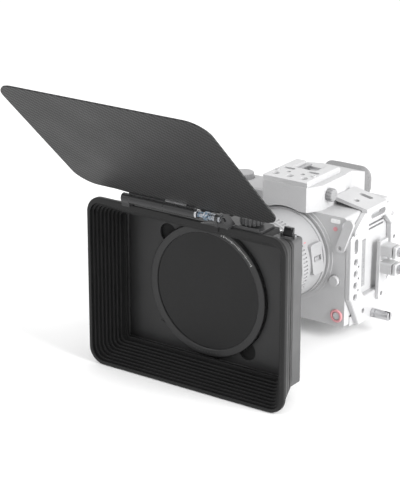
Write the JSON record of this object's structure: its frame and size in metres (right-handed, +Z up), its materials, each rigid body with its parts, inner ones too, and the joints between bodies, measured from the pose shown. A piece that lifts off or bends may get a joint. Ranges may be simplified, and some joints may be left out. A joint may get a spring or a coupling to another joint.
{
  "type": "cinema camera rig",
  "caption": "Hybrid cinema camera in a half cage with a zoom lens and a clamp-on matte box: ribbed hood, filter tray with a turning round filter, tilting top flag.",
  "frame": {"origin": "tripod thread in the underside of the cage's base plate, below the lens axis", "axes": "+Z up, the lens looks along -Y, +X is the camera's port side (to the right of a viewer in front)"},
  "size_m": [0.1912, 0.3612, 0.2619],
  "materials": {
    "hood_polymer": "moulded black polymer, fine matte texture",
    "frame_black": "black anodised alloy",
    "ring_black": "satin black anodised alloy",
    "filter_glass": "dark neutral density glass",
    "carbon": "carbon fibre twill, satin",
    "steel": "satin steel",
    "black_metal": "black coated metal",
    "lens_alloy": "pale grey painted alloy",
    "lens_rubber": "pale grey ribbed rubber",
    "optic_glass": "coated optical glass",
    "body_shell": "pale grey fine-grain shell",
    "body_rubber": "pale grey leather-grain rubber",
    "cage_alloy": "pale anodised alloy, satin",
    "red_trim": "red anodised trim",
    "screen_glass": "dark display glass",
    "eyecup_rubber": "soft dark grey rubber",
    "circuit": "green circuit board"
  },
  "bodies": {
    "camera": {"hood_shell": "hood_polymer", "filter_frame": "frame_black", "flag_supports": "black_metal", "matte_box_pins": "steel", "lens_front_barrel": "lens_alloy", "lens_fixed_tube": "lens_alloy", "lens_rear_barrel": "lens_alloy", "lens_elements": "optic_glass", "mount_rings": "steel", "body_front_shell": "body_shell", "body_rear_shell": "body_shell", "grip": "body_rubber", "battery": "black_metal", "top_deck": "body_shell", "viewfinder_housing": "body_shell", "hot_shoe": "steel", "eyepiece_glass": "screen_glass", "eyecup": "eyecup_rubber", "front_trim": "red_trim", "sensor_unit": "circuit", "board_and_cooler": "circuit", "screen_hinge": "cage_alloy", "cage_base_plate": "cage_alloy", "cage_side_plate": "cage_alloy", "cage_braces": "cage_alloy", "cage_top_plate": "cage_alloy", "cable_clamp_bracket": "cage_alloy"},
    "collar_screw": {"collar_screw": "black_metal"},
    "latch": {"tray_latch": "black_metal"},
    "tray": {"filter_tray": "frame_black", "filter_base": "ring_black"},
    "vnd_ring": {"filter_ring_front": "ring_black", "filter_glass_front": "filter_glass"},
    "flag": {"flag_panel": "carbon", "hinge_barrel": "black_metal", "flag_clamp": "steel"},
    "bracket_screw": {"bracket_thumb_screw": "black_metal"},
    "focus_ring": {"focus_ring": "lens_rubber"},
    "zoom_ring": {"zoom_ring": "lens_rubber"},
    "control_ring": {"control_ring": "lens_alloy"},
    "focus_switch": {"focus_switch": "lens_alloy"},
    "battery_door": {"battery_door": "body_shell"},
    "mode_dial": {"mode_dial": "lens_alloy"},
    "front_dial": {"front_dial": "lens_alloy"},
    "shutter_button": {"shutter_button": "cage_alloy"},
    "diopter_knob": {"diopter_knob": "body_rubber"},
    "record_button": {"record_button": "body_shell"},
    "lens_release": {"lens_release_button": "body_shell"},
    "port_door": {"port_door": "body_rubber"},
    "fan": {"fan_rotor": "black_metal"},
    "rear_wheel": {"rear_wheel": "body_shell"},
    "rear_buttons": {"rear_buttons": "body_shell"},
    "joystick": {"joystick": "body_rubber"},
    "screen": {"screen": "body_shell", "screen_glass": "screen_glass"},
    "clamp_jaw_low": {"cable_clamp_jaw_low": "cage_alloy"},
    "clamp_jaw_high": {"cable_clamp_jaw_high": "cage_alloy"},
    "clamp_screw_low": {"cable_clamp_screw_low": "steel"},
    "clamp_screw_high": {"cable_clamp_screw_high": "steel"},
    "base_thumb_screw": {"base_thumb_screw": "steel"}
  },
  "joints": [
    {"name": "flag_tilt", "type": "hinge", "parent": "camera", "child": "flag", "pos_m": [0, -0.1876, 0.139], "axis": [1, 0, 0], "range_deg": [-45, 135]},
    {"name": "tray_lift", "type": "slide", "parent": "camera", "child": "tray", "axis": [0, 0, 1], "range_m": [0, 0.13]},
    {"name": "vnd_turn", "type": "hinge", "parent": "tray", "child": "vnd_ring", "pos_m": [0, -0.15, 0.06], "axis": [0, 1, 0], "range_deg": [0, 90]},
    {"name": "latch_flip", "type": "hinge", "parent": "camera", "child": "latch", "pos_m": [0.0762, -0.151, 0.1237], "axis": [1, 0, 0], "range_deg": [-90, 20]},
    {"name": "bracket_screw_turn", "type": "hinge", "parent": "camera", "child": "bracket_screw", "pos_m": [0.0567, -0.1724, 0.138], "axis": [0, 0, 1], "continuous": true},
    {"name": "collar_screw_turn", "type": "hinge", "parent": "camera", "child": "collar_screw", "pos_m": [0.0515, -0.139, 0.068], "axis": [0, 0, 1], "continuous": true},
    {"name": "focus_turn", "type": "hinge", "parent": "camera", "child": "focus_ring", "pos_m": [0, -0.1165, 0.06], "axis": [0, 1, 0], "continuous": true},
    {"name": "zoom_turn", "type": "hinge", "parent": "camera", "child": "zoom_ring", "pos_m": [0, -0.087, 0.06], "axis": [0, 1, 0], "range_deg": [0, 70]},
    {"name": "control_turn", "type": "hinge", "parent": "camera", "child": "control_ring", "pos_m": [0, -0.065, 0.06], "axis": [0, 1, 0], "continuous": true},
    {"name": "focus_switch_slide", "type": "slide", "parent": "camera", "child": "focus_switch", "axis": [0, 1, 0], "range_m": [0, 0.0038]},
    {"name": "lens_release_press", "type": "slide", "parent": "camera", "child": "lens_release", "axis": [0, 1, 0], "range_m": [0, 0.001], "stiffness_N_per_m": 150},
    {"name": "record_press", "type": "slide", "parent": "camera", "child": "record_button", "axis": [0, 1, 0], "range_m": [0, 0.0008], "stiffness_N_per_m": 150},
    {"name": "shutter_press", "type": "slide", "parent": "camera", "child": "shutter_button", "axis": [0, 0, -1], "range_m": [0, 0.0015], "stiffness_N_per_m": 150},
    {"name": "mode_dial_turn", "type": "hinge", "parent": "camera", "child": "mode_dial", "pos_m": [-0.064, -0.005, 0.107], "axis": [0, 0, 1], "continuous": true},
    {"name": "front_dial_turn", "type": "hinge", "parent": "camera", "child": "front_dial", "pos_m": [-0.066, -0.026, 0.107], "axis": [0, 0, 1], "continuous": true},
    {"name": "diopter_turn", "type": "hinge", "parent": "camera", "child": "diopter_knob", "pos_m": [0.032, -0.016, 0.111], "axis": [1, 0, 0], "continuous": true},
    {"name": "rear_wheel_turn", "type": "hinge", "parent": "camera", "child": "rear_wheel", "pos_m": [-0.0386, 0.042, 0.046], "axis": [0, 1, 0], "continuous": true},
    {"name": "rear_buttons_press", "type": "slide", "parent": "camera", "child": "rear_buttons", "axis": [0, -1, 0], "range_m": [0, 0.0005], "stiffness_N_per_m": 150},
    {"name": "joystick_tilt", "type": "hinge", "parent": "camera", "child": "joystick", "pos_m": [-0.038, 0.04, 0.06], "axis": [1, 0, 0], "range_deg": [-8, 8], "stiffness_Nm_per_rad": 0.02},
    {"name": "screen_swing", "type": "hinge", "parent": "camera", "child": "screen", "pos_m": [0.049, 0.0486, 0.049], "axis": [0, 0, -1], "range_deg": [0, 175]},
    {"name": "port_door_swing", "type": "hinge", "parent": "camera", "child": "port_door", "pos_m": [0.0568, -0.0118, 0.051], "axis": [0, 0, -1], "range_deg": [0, 85]},
    {"name": "battery_door_swing", "type": "hinge", "parent": "camera", "child": "battery_door", "pos_m": [-0.0769, -0.022, 0.0081], "axis": [0, 1, 0], "range_deg": [0, 95]},
    {"name": "fan_spin", "type": "hinge", "parent": "camera", "child": "fan", "pos_m": [0.008, 0.023, 0.05], "axis": [0, 1, 0], "continuous": true},
    {"name": "clamp_jaw_low_slide", "type": "slide", "parent": "camera", "child": "clamp_jaw_low", "axis": [1, 0, 0], "range_m": [-0.0011, 0.0006]},
    {"name": "clamp_screw_low_turn", "type": "hinge", "parent": "clamp_jaw_low", "child": "clamp_screw_low", "pos_m": [0.08, 0.0176, 0.0445], "axis": [1, 0, 0], "continuous": true},
    {"name": "clamp_jaw_high_slide", "type": "slide", "parent": "camera", "child": "clamp_jaw_high", "axis": [1, 0, 0], "range_m": [-0.0011, 0.0006]},
    {"name": "clamp_screw_high_turn", "type": "hinge", "parent": "clamp_jaw_high", "child": "clamp_screw_high", "pos_m": [0.08, 0.0176, 0.06], "axis": [1, 0, 0], "continuous": true},
    {"name": "base_thumb_screw_turn", "type": "hinge", "parent": "camera", "child": "base_thumb_screw", "pos_m": [0.07, 0.007, 0.0042], "axis": [1, 0, 0], "continuous": true}
  ]
}
